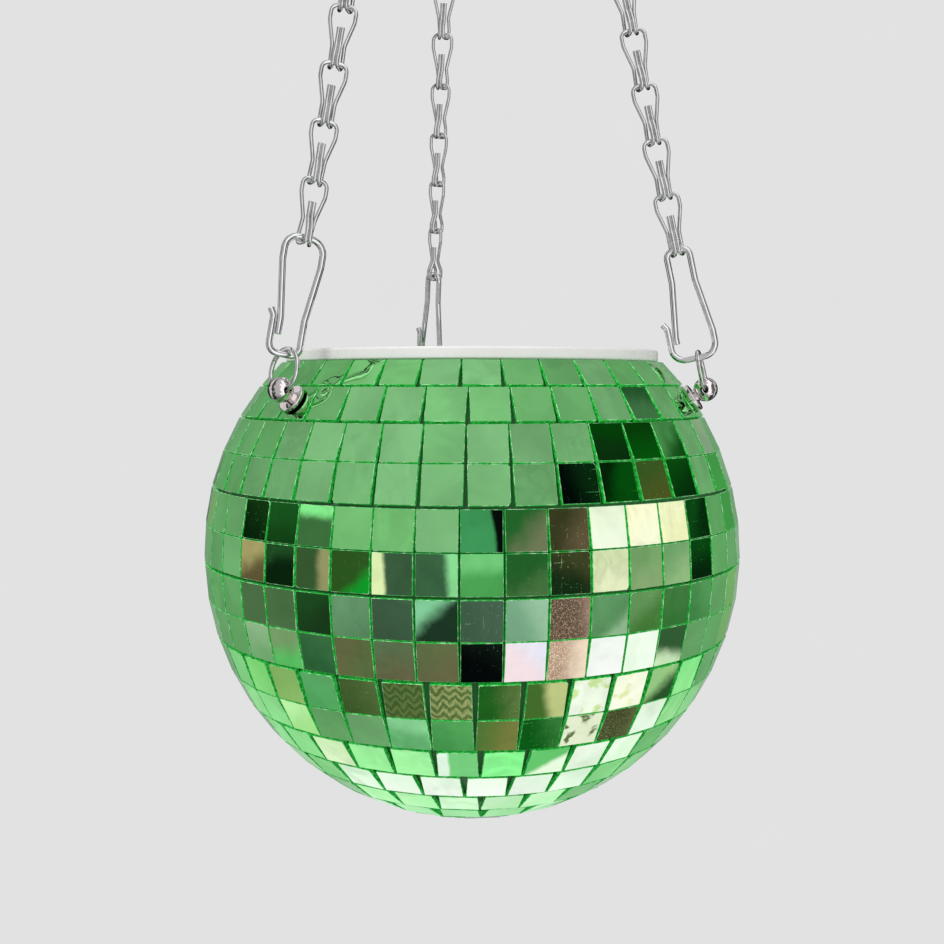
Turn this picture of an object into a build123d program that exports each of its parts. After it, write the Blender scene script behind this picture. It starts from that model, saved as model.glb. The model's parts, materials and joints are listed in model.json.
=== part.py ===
"""Mirror ball hanging planter: a tiled ball with an open top, hung on three wire-link chains.

Millimetres, +Z up. The origin is the saddle of the top hook, where a support bears on it.
The front of the object faces -Y. Azimuths are measured from the front, positive to the right (+X).
"""

import os
from math import atan2, cos, degrees, hypot, pi, radians, sin, sqrt, tan

from build123d import *

# ---- Ball -------------------------------------------------------------------------------------
BALL_RADIUS = 100.0  # over the tile faces
TILE_SIDE = 13.0  # half-inch mirror tile over its ground edges
TILE_THICKNESS = 1.6
GLUE_GAP = 0.4
SHELL_WALL = 3.0
SHELL_RADIUS = BALL_RADIUS - TILE_THICKNESS - GLUE_GAP - 0.2
SHELL_INNER_RADIUS = SHELL_RADIUS - SHELL_WALL
SHELL_RIM_HEIGHT = 70.0  # above the ball's centre
OPENING_RADIUS = 66.5
LAP_HEIGHT = 4.0  # above the equator
LAP_ROOT = 12.0  # below the equator, where the lap runs into the wall
LAP_WALL = 2.0
LAP_CLEARANCE = 0.1

# ---- Tile rows --------------------------------------------------------------------------------
TOP_LATITUDE = 44.8  # of the highest tile edge
FIRST_ROW_FOOT = 38.1  # latitude of the joint under the cut top row
ROW_PITCH = 7.79  # degrees of latitude
STRIP_ROW_PITCH = 7.6  # degrees between the two rows of one strip
TILE_JOINT = 0.15  # smallest gap between two tiles of a row
# Rows from the top down: rows in the strip, tiles in each row, azimuth of one tile joint
TILE_BANDS = [
    (1, 36, 7.3),
    (1, 38, 8.6),
    (2, 42, 7.4),
    (2, 46, -2.2),
    (2, 46, -2.2),
    (2, 40, 0.6),
    (1, 35, 1.9),
    (1, 31, -2.0),
    (1, 27, 2.7),
    (1, 21, 4.0),
    (1, 15, -6.0),
    (1, 9, 11.0),
]
END_TILE_RADIUS = 16.5

# ---- Liner ------------------------------------------------------------------------------------
LIP_RADIUS = 69.8
LIP_BASE = SHELL_RIM_HEIGHT + 0.2
LIP_TOP = 74.5
LINER_WALL = 1.9
LINER_MOUTH_RADIUS = 64.0
LINER_MOUTH_DEPTH = 9.0
LINER_FOOT_RADIUS = 52.0  # outside
LINER_FOOT_HEIGHT = -24.0

# ---- Hanger studs, rings and clips ------------------------------------------------------------
STUD_LATITUDE = 34.6
STUD_AZIMUTHS = {"left": -45.7, "right": 73.6, "back": 192.8}
STUD_FLANGE_RADIUS = 5.1
STUD_FLANGE_THICKNESS = 1.2
STUD_FLANGE_LIFT = 0.7  # over the nominal ball, clear of the tile corners
STUD_NECK_RADIUS = 2.3
STUD_BALL_RADIUS = 4.3
STUD_BALL_CENTRE = 106.3  # from the ball's centre
STUD_HOLE_RADIUS = 1.6
STUD_SHANK_RADIUS = 2.0
STUD_SHANK_END = 87.0
WASHER_RADIUS = 4.5
WASHER_THICKNESS = 0.8
NUT_ACROSS_FLATS = 7.0
NUT_THICKNESS = 3.2
THREAD_CLEARANCE = 0.05

RING_WIRE = 1.6
RING_RADIUS = 7.15  # to the wire's centre
RING_DROP = 0.6  # of the ring's lowest point below the stud ball's centre
RING_BUTT_GAP = 0.2

CLIP_WIRE = 2.2
CLIP_HEIGHT = 39.5  # between wire centres
CLIP_WIDE = 6.65  # half widths to the wire's centre
CLIP_NARROW = 4.1
CLIP_BEND_SHARE = 0.72  # bend radius at each end, as a share of the half width
CONTACT_GAP = 0.1  # left between parts that bear on each other

# ---- Chains -----------------------------------------------------------------------------------
LINK_WIRE = 1.3
LINK_PITCH = 20.0
LINKS = 18
LINKS_PER_NODE = 2
EYE_HALF_WIDTH = 4.2
HOOK_HALF_DEPTH = 1.95
FIRST_HOOK_HALF_DEPTH = 2.4  # the lowest link hooks round the thicker clip wire
SEGMENT_LINKS = 6  # links that turn together
LINK_TURN = 7.5  # most that one link is turned from the next, degrees
# Direction that each clip's flat face looks to, as an azimuth from the front
CLIP_FACING = {"left": 26.0, "right": -10.0, "back": -52.0}
CLIP_WIDE_END_UP = {"left": True, "right": False, "back": False}

# ---- Top ring, swivel and hook ----------------------------------------------------------------
HOOK_WIRE = 3.2
HOOK_SADDLE_RADIUS = 7.0
SWIVEL_BOSS_RADIUS = 4.5
SWIVEL_BOSS_TOP = -30.0
SWIVEL_BOSS_HEIGHT = 4.0
SWIVEL_WIRE = 3.0
SWIVEL_LOOP_RADIUS = 8.0
SHANK_HEAD_RADIUS = 3.0
SHANK_HEAD_THICKNESS = 2.0
TOP_RING_WIRE = 2.4
TOP_RING_RADIUS = 11.0
LOOP_GAP = 0.25
TOP_EYE_SPACING = 2.3

# ---- Heights worked out from the sizes above --------------------------------------------------
SWIVEL_LOOP_CENTRE = SWIVEL_BOSS_TOP - SWIVEL_BOSS_HEIGHT + 1.0 - SWIVEL_LOOP_RADIUS
SWIVEL_LOOP_FOOT = SWIVEL_LOOP_CENTRE - SWIVEL_LOOP_RADIUS
TOP_RING_TOP = SWIVEL_LOOP_FOOT + (SWIVEL_WIRE + TOP_RING_WIRE) / 2 + LOOP_GAP
TOP_RING_CENTRE = TOP_RING_TOP - TOP_RING_RADIUS
TOP_RING_FOOT = TOP_RING_CENTRE - TOP_RING_RADIUS
TOP_EYE_HEIGHT = TOP_RING_FOOT + (TOP_RING_WIRE + LINK_WIRE) / 2 + 0.2
CLIP_FOOT = RING_RADIUS * 2 - RING_DROP - (CLIP_WIRE + RING_WIRE) / 2 - CONTACT_GAP
CLIP_HEAD = CLIP_FOOT + CLIP_HEIGHT
CHAIN_SPAN = CLIP_HEAD + LINKS * LINK_PITCH
STUD_REACH = STUD_BALL_CENTRE * cos(radians(STUD_LATITUDE))
STUD_HEIGHT = STUD_BALL_CENTRE * sin(radians(STUD_LATITUDE))
BALL_Z = TOP_EYE_HEIGHT - sqrt(CHAIN_SPAN**2 - STUD_REACH**2) - STUD_HEIGHT


# ---- Directions -------------------------------------------------------------------------------
def outward(azimuth, latitude=0.0):
    """Unit vector from the ball's axis at an azimuth, raised by a latitude."""
    a = radians(azimuth)
    b = radians(latitude)
    return Vector(sin(a) * cos(b), -cos(a) * cos(b), sin(b))


def ball_point(azimuth, latitude, distance):
    """Point at a distance from the ball's centre."""
    return Vector(0, 0, BALL_Z) + outward(azimuth, latitude) * distance


def stud_point(side):
    """Centre of a hanger stud's ball, where its chain line starts."""
    return ball_point(STUD_AZIMUTHS[side], STUD_LATITUDE, STUD_BALL_CENTRE)


def top_point(side):
    """Centre of the wire at the top of a chain's highest eye, over the top ring's wire."""
    offset = {"left": -TOP_EYE_SPACING, "right": 0.0, "back": TOP_EYE_SPACING}[side]
    rise = TOP_RING_RADIUS - sqrt(TOP_RING_RADIUS**2 - offset**2)
    return Vector(0, offset, TOP_EYE_HEIGHT + rise)


def chain_direction(side):
    """Unit vector up a chain, from its stud to the top ring."""
    return (top_point(side) - stud_point(side)).normalized()


def chain_plane(side, distance, facing):
    """Plane on a chain line: local Y up the chain, local Z towards the azimuth it faces."""
    up = chain_direction(side)
    look = outward(facing)
    normal = (look - up * look.dot(up)).normalized()
    return Plane(stud_point(side) + up * distance, x_dir=up.cross(normal), z_dir=normal)


# ---- Wire work --------------------------------------------------------------------------------
def bent_wire(points, radii, thickness):
    """Round wire along straight runs joined by arcs."""
    path = FilletPolyline(*points, radius=radii)
    section = Plane(path @ 0, z_dir=path % 0) * Circle(thickness / 2)
    wire = sweep(section, path=path)
    expected = pi * (thickness / 2) ** 2 * path.length
    if abs(wire.volume / expected - 1) > 0.02:
        raise ValueError(f"wire volume {wire.volume:.2f}, expected {expected:.2f}")
    return wire


def mirrored_ends(points, radii):
    """A left-right symmetrical wire, given from one end to its middle."""
    other = [(-x, y, z) for x, y, z in reversed(points)]
    return points + other, radii + list(reversed(radii))


def chain_link(hook_half_depth, wire_below):
    """One link, origin at the centre of its eye's top wire, hooks round a wire one pitch below."""
    inner = 0.53 * LINK_WIRE
    outer = 1.59 * LINK_WIRE
    foot = -LINK_PITCH - (LINK_WIRE + wire_below) / 2 - CONTACT_GAP
    points = [
        (inner, -7.8, 0.45),
        (inner, -13.5, 0.55),
        (inner, -18.0, hook_half_depth),
        (inner, foot, hook_half_depth),
        (outer, foot, -hook_half_depth),
        (outer, -18.0, -hook_half_depth),
        (outer, -13.5, -0.35),
        (EYE_HALF_WIDTH, -5.2, 0.0),
        (EYE_HALF_WIDTH, 0.0, 0.0),
    ]
    radii = [6.0, 2.5, 1.4, 1.4, 2.5, 5.0, 6.0, 2.4]
    return bent_wire(*mirrored_ends(points, radii), LINK_WIRE)


def clip(foot_half, head_half):
    """Pear-shaped clip: one wire whose ends lie side by side up its left leg."""
    overlap = CLIP_WIRE + 0.15
    wide_up = head_half > foot_half
    low_bend = (0.30 if wide_up else 0.22) * CLIP_HEIGHT
    high_bend = (0.78 if wide_up else 0.70) * CLIP_HEIGHT
    points = [
        (-foot_half, 6.2, 0),
        (-foot_half, low_bend, 0),
        (-head_half, high_bend, 0),
        (-head_half, CLIP_HEIGHT, 0),
        (head_half, CLIP_HEIGHT, 0),
        (head_half, high_bend, 0),
        (foot_half, low_bend, 0),
        (foot_half, 0, 0),
        (-foot_half - overlap, 0, 0),
        (-foot_half - overlap, 12.0, 0),
        (-foot_half - overlap - 1.3, 14.2, 0),
    ]
    head_bend = CLIP_BEND_SHARE * head_half
    foot_bend = CLIP_BEND_SHARE * foot_half
    radii = [8.0, 8.0, head_bend, head_bend, 8.0, 8.0, foot_bend, foot_bend, 2.0]
    return bent_wire(points, radii, CLIP_WIRE)


def butted_ring(radius, thickness, gap):
    """Round ring in the local XY plane whose ends meet with a fine gap at +Y."""
    ring = Torus(radius, thickness / 2)
    return ring - Pos(0, radius, 0) * Box(gap, thickness * 2, thickness * 2)


# ---- Ball -------------------------------------------------------------------------------------
def at_ball(shape):
    """Move a shape drawn round the ball's centre to its place."""
    return Pos(0, 0, BALL_Z) * shape


def stud_holes(radius):
    """Cylinders along the three stud axes, from the core's inside to past the tiles."""
    length = BALL_RADIUS + 4 - STUD_SHANK_END
    holes = []
    for azimuth in STUD_AZIMUTHS.values():
        axis = outward(azimuth, STUD_LATITUDE)
        middle = axis * (STUD_SHANK_END + length / 2)
        holes.append(Plane(middle, z_dir=axis) * Cylinder(radius, length))
    return holes


def half_space(low, high):
    """Block wider than the ball between two heights over its centre."""
    size = 2.4 * BALL_RADIUS
    return Pos(0, 0, (low + high) / 2) * Box(size, size, high - low)


def upper_shell():
    """Upper part of the core, from the equator to the open rim."""
    wall = Sphere(SHELL_RADIUS) - Sphere(SHELL_INNER_RADIUS)
    wall = wall & half_space(0, SHELL_RIM_HEIGHT)
    wall = wall - Pos(0, 0, SHELL_RIM_HEIGHT) * Cylinder(OPENING_RADIUS, 20)
    return at_ball(wall - stud_holes(STUD_SHANK_RADIUS + THREAD_CLEARANCE))


def lower_shell():
    """Lower half of the core, with the lap that locates the upper part."""
    bowl = (Sphere(SHELL_RADIUS) - Sphere(SHELL_INNER_RADIUS)) & half_space(-BALL_RADIUS, -0.05)
    lap_outer = sqrt(SHELL_INNER_RADIUS**2 - LAP_HEIGHT**2) - LAP_CLEARANCE
    length = LAP_HEIGHT + LAP_ROOT
    lap = Cylinder(lap_outer, length) - Cylinder(lap_outer - LAP_WALL, length)
    return at_ball(bowl + Pos(0, 0, LAP_HEIGHT - length / 2) * lap)


def planter_liner():
    """Drop-in cup whose lip sits on the core's rim."""
    inner_foot = LINER_FOOT_RADIUS - LINER_WALL
    outer_neck = LINER_MOUTH_RADIUS + LINER_WALL
    mouth_foot = LIP_TOP - LINER_MOUTH_DEPTH
    outline = [
        (0, LINER_FOOT_HEIGHT),
        (LINER_FOOT_RADIUS, LINER_FOOT_HEIGHT),
        (outer_neck, mouth_foot),
        (outer_neck, LIP_BASE),
        (LIP_RADIUS, LIP_BASE),
        (LIP_RADIUS, LIP_TOP),
        (LINER_MOUTH_RADIUS, LIP_TOP),
        (LINER_MOUTH_RADIUS, mouth_foot),
        (inner_foot, LINER_FOOT_HEIGHT + LINER_WALL),
        (0, LINER_FOOT_HEIGHT + LINER_WALL),
    ]
    profile = make_face(Polyline(*outline, close=True))
    rounded = fillet(profile.vertices().group_by(Axis.X)[-1], 0.9)
    return at_ball(revolve(Plane.XZ * rounded, Axis.Z))


def row_latitudes():
    """Middle latitude and tile height of each row, grouped by band, from the top down."""
    bands = []
    head = TOP_LATITUDE
    for rows, _, _ in TILE_BANDS:
        foot = FIRST_ROW_FOOT if not bands else head - rows * ROW_PITCH
        middle = (head + foot) / 2
        if rows == 1:
            height = min(TILE_SIDE, radians(head - foot) * BALL_RADIUS - 0.8)
            bands.append([(middle, height)])
        else:
            half = STRIP_ROW_PITCH / 2
            bands.append([(middle + half, TILE_SIDE), (middle - half, TILE_SIDE)])
        head = foot
    return bands


def tile_width(latitude, height, count):
    """Widest tile that leaves a joint at the row's narrower edge, up to the standard tile."""
    inner = BALL_RADIUS - TILE_THICKNESS
    lean = degrees(atan2(height / 2, inner))
    edge = abs(latitude) + lean
    narrow_radius = hypot(inner, height / 2) * cos(radians(edge))
    return min(TILE_SIDE, 2 * narrow_radius * tan(pi / count) - TILE_JOINT)


def tile_row(latitude, height, count, joint_azimuth):
    """One row of flat tiles round the ball, each tangent to it."""
    step = 360 / count
    width = tile_width(latitude, height, count)
    blank = Box(width, height, TILE_THICKNESS)
    tiles = []
    for index in range(count):
        azimuth = joint_azimuth + (index + 0.5) * step
        axis = outward(azimuth, latitude)
        middle = axis * (BALL_RADIUS - TILE_THICKNESS / 2)
        level = Vector(0, 0, 1).cross(axis)
        tiles.append(at_ball(Plane(middle, x_dir=level, z_dir=axis) * blank))
    return tiles


def drilled(tiles):
    """Tiles with the studs' shank holes cut through them."""
    drills = [at_ball(hole) for hole in stud_holes(STUD_SHANK_RADIUS + 0.3)]
    result = []
    for tile in tiles:
        near = [drill for drill in drills if tile.distance_to(drill) < 0.01]
        result.append(tile - near if near else tile)
    return result


def end_tile():
    """Round tile that closes the pattern at the bottom pole."""
    middle = -(BALL_RADIUS - TILE_THICKNESS / 2)
    return at_ball(Pos(0, 0, middle) * Cylinder(END_TILE_RADIUS, TILE_THICKNESS))


def tile_nodes():
    """Tile nodes by name, one for each row or two-row strip."""
    nodes = {}
    first = 1
    for (rows, count, joint), band in zip(TILE_BANDS, row_latitudes()):
        tiles = []
        for latitude, height in band:
            tiles += tile_row(latitude, height, count, joint)
        last = first + rows - 1
        name = f"tile_row_{first:02d}" if rows == 1 else f"tile_strip_{first:02d}_{last:02d}"
        nodes[name] = drilled(tiles) if first <= 3 else tiles
        first = last + 1
    nodes["tile_end"] = end_tile()
    return nodes


# ---- Hanger hardware --------------------------------------------------------------------------
def stud_plane(side, distance):
    """Plane across a stud's axis, local X level."""
    azimuth = STUD_AZIMUTHS[side]
    axis = outward(azimuth, STUD_LATITUDE)
    return Plane(
        ball_point(azimuth, STUD_LATITUDE, distance), x_dir=outward(azimuth + 90), z_dir=axis
    )


def hanger_stud(side):
    """Screw-in stud: shank, flange, neck and a ball with a level cross hole."""
    flange_foot = BALL_RADIUS + STUD_FLANGE_LIFT
    flange = Cylinder(
        STUD_FLANGE_RADIUS, STUD_FLANGE_THICKNESS, align=(Align.CENTER, Align.CENTER, Align.MIN)
    )
    flange = fillet(flange.edges().sort_by(Axis.Z)[-1], 0.5)
    neck_length = STUD_BALL_CENTRE - flange_foot
    neck = Cylinder(
        STUD_NECK_RADIUS, neck_length, align=(Align.CENTER, Align.CENTER, Align.MIN)
    )
    shank_length = flange_foot - STUD_SHANK_END
    shank = Cylinder(
        STUD_SHANK_RADIUS, shank_length, align=(Align.CENTER, Align.CENTER, Align.MAX)
    )
    ball = Pos(0, 0, neck_length) * Sphere(STUD_BALL_RADIUS)
    hole = Pos(0, 0, neck_length) * Rot(0, 90, 0) * Cylinder(STUD_HOLE_RADIUS, 12)
    body = flange + neck + ball + shank - hole
    return stud_plane(side, flange_foot) * body


def stud_washers():
    """Flat washers inside the core, clear of its curved wall."""
    bearing = sqrt(SHELL_INNER_RADIUS**2 - WASHER_RADIUS**2) - 0.05
    blank = Cylinder(WASHER_RADIUS, WASHER_THICKNESS) - Cylinder(
        STUD_SHANK_RADIUS + THREAD_CLEARANCE, 4
    )
    return [stud_plane(side, bearing - WASHER_THICKNESS / 2) * blank for side in STUD_AZIMUTHS]


def stud_nuts():
    """Hexagon nuts that hold the studs against the washers."""
    bearing = sqrt(SHELL_INNER_RADIUS**2 - WASHER_RADIUS**2) - 0.1 - WASHER_THICKNESS
    hexagon = RegularPolygon(NUT_ACROSS_FLATS / 2, 6, major_radius=False)
    blank = extrude(hexagon, NUT_THICKNESS / 2, both=True)
    blank = blank - Cylinder(STUD_SHANK_RADIUS + THREAD_CLEARANCE, 8)
    return [stud_plane(side, bearing - NUT_THICKNESS / 2) * blank for side in STUD_AZIMUTHS]


def ring_plane(side):
    """Plane of a stud's ring: local Y up the chain, local X along the stud's cross hole."""
    up = chain_direction(side)
    level = outward(STUD_AZIMUTHS[side] + 90)
    normal = level.cross(up).normalized()
    centre = stud_point(side) + up * (RING_RADIUS - RING_DROP)
    return Plane(centre, x_dir=up.cross(normal), z_dir=normal)


def stud_ring(side):
    """Ring through the stud's cross hole, its butt joint turned off the load line."""
    ring = butted_ring(RING_RADIUS, RING_WIRE, RING_BUTT_GAP)
    return ring_plane(side) * Rot(0, 0, 62) * ring


def pear_clip(side):
    """Clip between a ring and the lowest link."""
    up = CLIP_WIDE_END_UP[side]
    foot_half = CLIP_NARROW if up else CLIP_WIDE
    head_half = CLIP_WIDE if up else CLIP_NARROW
    return chain_plane(side, CLIP_FOOT, CLIP_FACING[side]) * clip(foot_half, head_half)


# ---- Chains -----------------------------------------------------------------------------------
def link_facings(side):
    """Azimuth that each link faces, from the clip up, easing towards the front."""
    facing = CLIP_FACING[side]
    facings = []
    for index in range(LINKS):
        if index % SEGMENT_LINKS:
            step = min(LINK_TURN, abs(facing))
            facing -= step if facing > 0 else -step
        facings.append(facing)
    return facings


def chain_links(side, first_link, plain_link):
    """All links of one chain, from the clip up."""
    span = (top_point(side) - stud_point(side)).length
    pitch = (span - CLIP_HEAD) / LINKS
    links = []
    for index, facing in enumerate(link_facings(side)):
        blank = plain_link if index else first_link
        links.append(chain_plane(side, CLIP_HEAD + (index + 1) * pitch, facing) * blank)
    return links


def chain_nodes(side, first_link, plain_link):
    """Chain nodes by name, a few links in each, numbered from the clip up."""
    links = chain_links(side, first_link, plain_link)
    nodes = {}
    for start in range(0, LINKS, LINKS_PER_NODE):
        name = f"chain_{side}_{start // LINKS_PER_NODE + 1}"
        nodes[name] = links[start : start + LINKS_PER_NODE]
    return nodes


# ---- Top fittings -----------------------------------------------------------------------------
def top_hook():
    """Open hook with a straight shank, headed below the swivel's boss."""
    reach = HOOK_SADDLE_RADIUS + HOOK_WIRE / 2
    centre = -HOOK_SADDLE_RADIUS
    head_top = SWIVEL_BOSS_TOP - SWIVEL_BOSS_HEIGHT - 0.1
    path_points = [
        (0, 0, head_top),
        (0, 0, centre - 13.5),
        (reach, 0, centre - 5.5),
        (reach, 0, centre + reach),
        (-reach, 0, centre + reach),
        (-reach, 0, centre - 4.0),
        (-reach - 2.2, 0, centre - 7.5),
    ]
    hook = bent_wire(path_points, [7.0, 4.0, reach - 0.01, reach - 0.01, 3.0], HOOK_WIRE)
    head = Pos(0, 0, head_top - SHANK_HEAD_THICKNESS / 2) * Cylinder(
        SHANK_HEAD_RADIUS, SHANK_HEAD_THICKNESS
    )
    return hook + chamfer(head.edges(), 0.4)


def swivel_eye():
    """Round eye with a bored boss that turns on the hook's shank."""
    boss = Pos(0, 0, SWIVEL_BOSS_TOP - SWIVEL_BOSS_HEIGHT / 2) * Cylinder(
        SWIVEL_BOSS_RADIUS, SWIVEL_BOSS_HEIGHT
    )
    boss = fillet(boss.edges().sort_by(Axis.Z)[-1], 1.0)
    loop = Pos(0, 0, SWIVEL_LOOP_CENTRE) * Rot(90, 0, 0) * Torus(SWIVEL_LOOP_RADIUS, SWIVEL_WIRE / 2)
    below = SWIVEL_BOSS_TOP - SWIVEL_BOSS_HEIGHT
    room = Pos(0, 0, below - 1.5) * Cylinder(SHANK_HEAD_RADIUS + 0.4, 3.0)
    bore = Pos(0, 0, SWIVEL_BOSS_TOP) * Cylinder(HOOK_WIRE / 2 + THREAD_CLEARANCE, 30)
    above = Pos(0, 0, SWIVEL_BOSS_TOP + 5) * Box(20, 20, 10)
    return boss + (loop - above) - room - bore


def top_ring():
    """Ring that gathers the three chains under the swivel, in the front-to-back plane."""
    ring = butted_ring(TOP_RING_RADIUS, TOP_RING_WIRE, RING_BUTT_GAP)
    plane = Plane((0, 0, TOP_RING_CENTRE), x_dir=(0, 1, 0), z_dir=(1, 0, 0))
    return plane * Rot(0, 0, 75) * ring


# ---- Assembly ---------------------------------------------------------------------------------
def all_nodes():
    """Every node by name: one solid, or a list of separate solids."""
    first_link = chain_link(FIRST_HOOK_HALF_DEPTH, CLIP_WIRE)
    plain_link = chain_link(HOOK_HALF_DEPTH, LINK_WIRE)
    nodes = {
        "top_hook": top_hook(),
        "swivel_eye": swivel_eye(),
        "top_ring": top_ring(),
        "upper_shell": upper_shell(),
        "lower_shell": lower_shell(),
        "planter_liner": planter_liner(),
        "stud_washers": stud_washers(),
        "stud_nuts": stud_nuts(),
    }
    nodes.update(tile_nodes())
    for side in STUD_AZIMUTHS:
        nodes[f"hanger_stud_{side}"] = hanger_stud(side)
        nodes[f"ring_{side}"] = stud_ring(side)
        nodes[f"clip_{side}"] = pear_clip(side)
        nodes.update(chain_nodes(side, first_link, plain_link))
    return nodes


def write(name, shape):
    """Write one node's STEP file."""
    solids = shape if isinstance(shape, list) else [shape]
    label = Compound(children=solids) if len(solids) > 1 else solids[0]
    label.label = name
    export_step(label, f"parts/{name}.step")


def report_frame():
    """Print the axes and points that joints and mounts refer to."""
    print(f"ball centre z {BALL_Z:.3f}, stud reach {STUD_REACH:.3f}, height {STUD_HEIGHT:.3f}")
    print(f"swivel loop foot z {SWIVEL_LOOP_FOOT:.3f}, top ring foot z {TOP_RING_FOOT:.3f}")
    for side in STUD_AZIMUTHS:
        plane = ring_plane(side)
        print(side, "stud", stud_point(side), "up", chain_direction(side))
        print(side, "ring centre", plane.origin, "normal", plane.z_dir)


if __name__ == "__main__":
    os.makedirs("parts", exist_ok=True)
    for node_name, node_shape in all_nodes().items():
        write(node_name, node_shape)
    report_frame()
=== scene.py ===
"""Looks of the mirror ball hanging planter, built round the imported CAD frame. Metres, +Z up."""

import json
import math
import random

import bmesh
import bpy
from mathutils import Matrix, Vector


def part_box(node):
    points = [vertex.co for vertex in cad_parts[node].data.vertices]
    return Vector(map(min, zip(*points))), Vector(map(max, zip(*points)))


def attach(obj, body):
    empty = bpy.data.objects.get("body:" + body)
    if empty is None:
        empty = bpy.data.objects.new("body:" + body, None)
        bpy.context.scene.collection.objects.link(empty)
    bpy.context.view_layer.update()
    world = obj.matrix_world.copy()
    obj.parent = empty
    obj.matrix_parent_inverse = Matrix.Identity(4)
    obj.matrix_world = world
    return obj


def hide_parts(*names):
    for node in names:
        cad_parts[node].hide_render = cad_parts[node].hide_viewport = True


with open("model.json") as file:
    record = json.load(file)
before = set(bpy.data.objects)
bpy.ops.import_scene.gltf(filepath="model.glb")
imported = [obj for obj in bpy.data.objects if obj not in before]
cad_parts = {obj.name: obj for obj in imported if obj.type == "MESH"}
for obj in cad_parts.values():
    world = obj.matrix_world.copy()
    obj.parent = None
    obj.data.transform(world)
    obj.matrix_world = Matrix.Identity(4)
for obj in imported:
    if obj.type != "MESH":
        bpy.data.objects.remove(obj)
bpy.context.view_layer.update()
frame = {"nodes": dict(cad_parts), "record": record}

# ---- Sizes shared with the CAD model ----------------------------------------------------------
# Lengths in metres, latitudes, pitches and azimuths in degrees; a band is (rows, tiles a row, first joint)
R = 0.1  # over the tile faces
TILE = 0.013
THICK = 0.0016
CENTRE = Vector((0, 0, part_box("tile_end")[0].z + R))
TOP_LATITUDE = 44.8
FIRST_FOOT = 38.1
ROW_PITCH = 7.79
ROW_GAP = 0.0008
STRIP_PITCH = 7.6
JOINT = 0.00015
END_RADIUS = 0.0165
ARRIS_WIDTH = 0.00013
BANDS = [
    (1, 36, 7.3), (1, 38, 8.6), (2, 42, 7.4), (2, 46, -2.2), (2, 46, -2.2), (2, 40, 0.6),
    (1, 35, 1.9), (1, 31, -2.0), (1, 27, 2.7), (1, 21, 4.0), (1, 15, -6.0), (1, 9, 11.0),
]

# ---- Camera -----------------------------------------------------------------------------------
EYE = CENTRE + Vector((0, -0.4353, 0.0624))
LENS_ANGLE = 45.0
LOOK_DOWN = 4.43


def make_camera():
    data = bpy.data.cameras.new("camera")
    data.angle = math.radians(LENS_ANGLE)
    data.clip_start = 0.01
    data.clip_end = 100
    camera = bpy.data.objects.new("camera", data)
    camera.location = EYE
    camera.rotation_euler = (math.radians(90 - LOOK_DOWN), 0, 0)
    bpy.context.scene.collection.objects.link(camera)
    bpy.context.scene.camera = camera


make_camera()
bpy.context.scene.view_settings.view_transform = "Standard"

# ---- Tile tints, painted reflections and the room they reflect --------------------------------
GREEN = (0.36, 0.88, 0.355)
DEEP = (0.04, 0.72, 0.055)
OLIVE = (0.52, 0.92, 0.27)
CLEAR = (0.92, 0.95, 0.80)
MID = 0.43
BRIGHTEST = 2.5
FRONT_SPAN = 62  # azimuth each way that ROOM describes
ROOM_SOFT = 0.8  # half-width of the change between two patches of the room
# Patterns of painted reflection that a tile's second tone can take
PLAIN, SPECKLED, ZIGZAG, SPOTTED = range(4)


def warm(level, warmth):
    """Grey of a brightness, shifted towards brown by a positive warmth, towards blue by a negative one."""
    return (level * (1 + 0.35 * warmth), level * (1 - 0.08 * warmth), level * (1 - 0.40 * warmth))


def even(tint, level, warmth=0.0):
    """A tile of one tint facing light of one brightness."""
    return {
        "level": warm(level, warmth), "first": tint, "second": None,
        "lie": None, "pattern": PLAIN, "wear": None,
    }


def shown(first, second=None, angle=90, middle=0.0, soft=1.0, pattern=PLAIN, wear=0.1):
    """A tile with painted reflection: two tones given as display colours, the second one towards an angle (0
    right, 90 up).
    """
    tones = []
    for tone in (first, second or tuple(int(c * 0.93) for c in first)):
        tones.append([((c / 255 + 0.055) / 1.055) ** 2.4 if c > 10 else c / 3294.6 for c in tone])
    level = max(tones[0] + tones[1]) / 0.95
    first, second = (tuple(c / level for c in tone) for tone in tones)
    lie = (math.radians(angle), middle, soft)
    return {
        "level": (level,) * 3, "first": first, "second": second,
        "lie": lie, "pattern": pattern, "wear": wear,
    }
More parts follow.
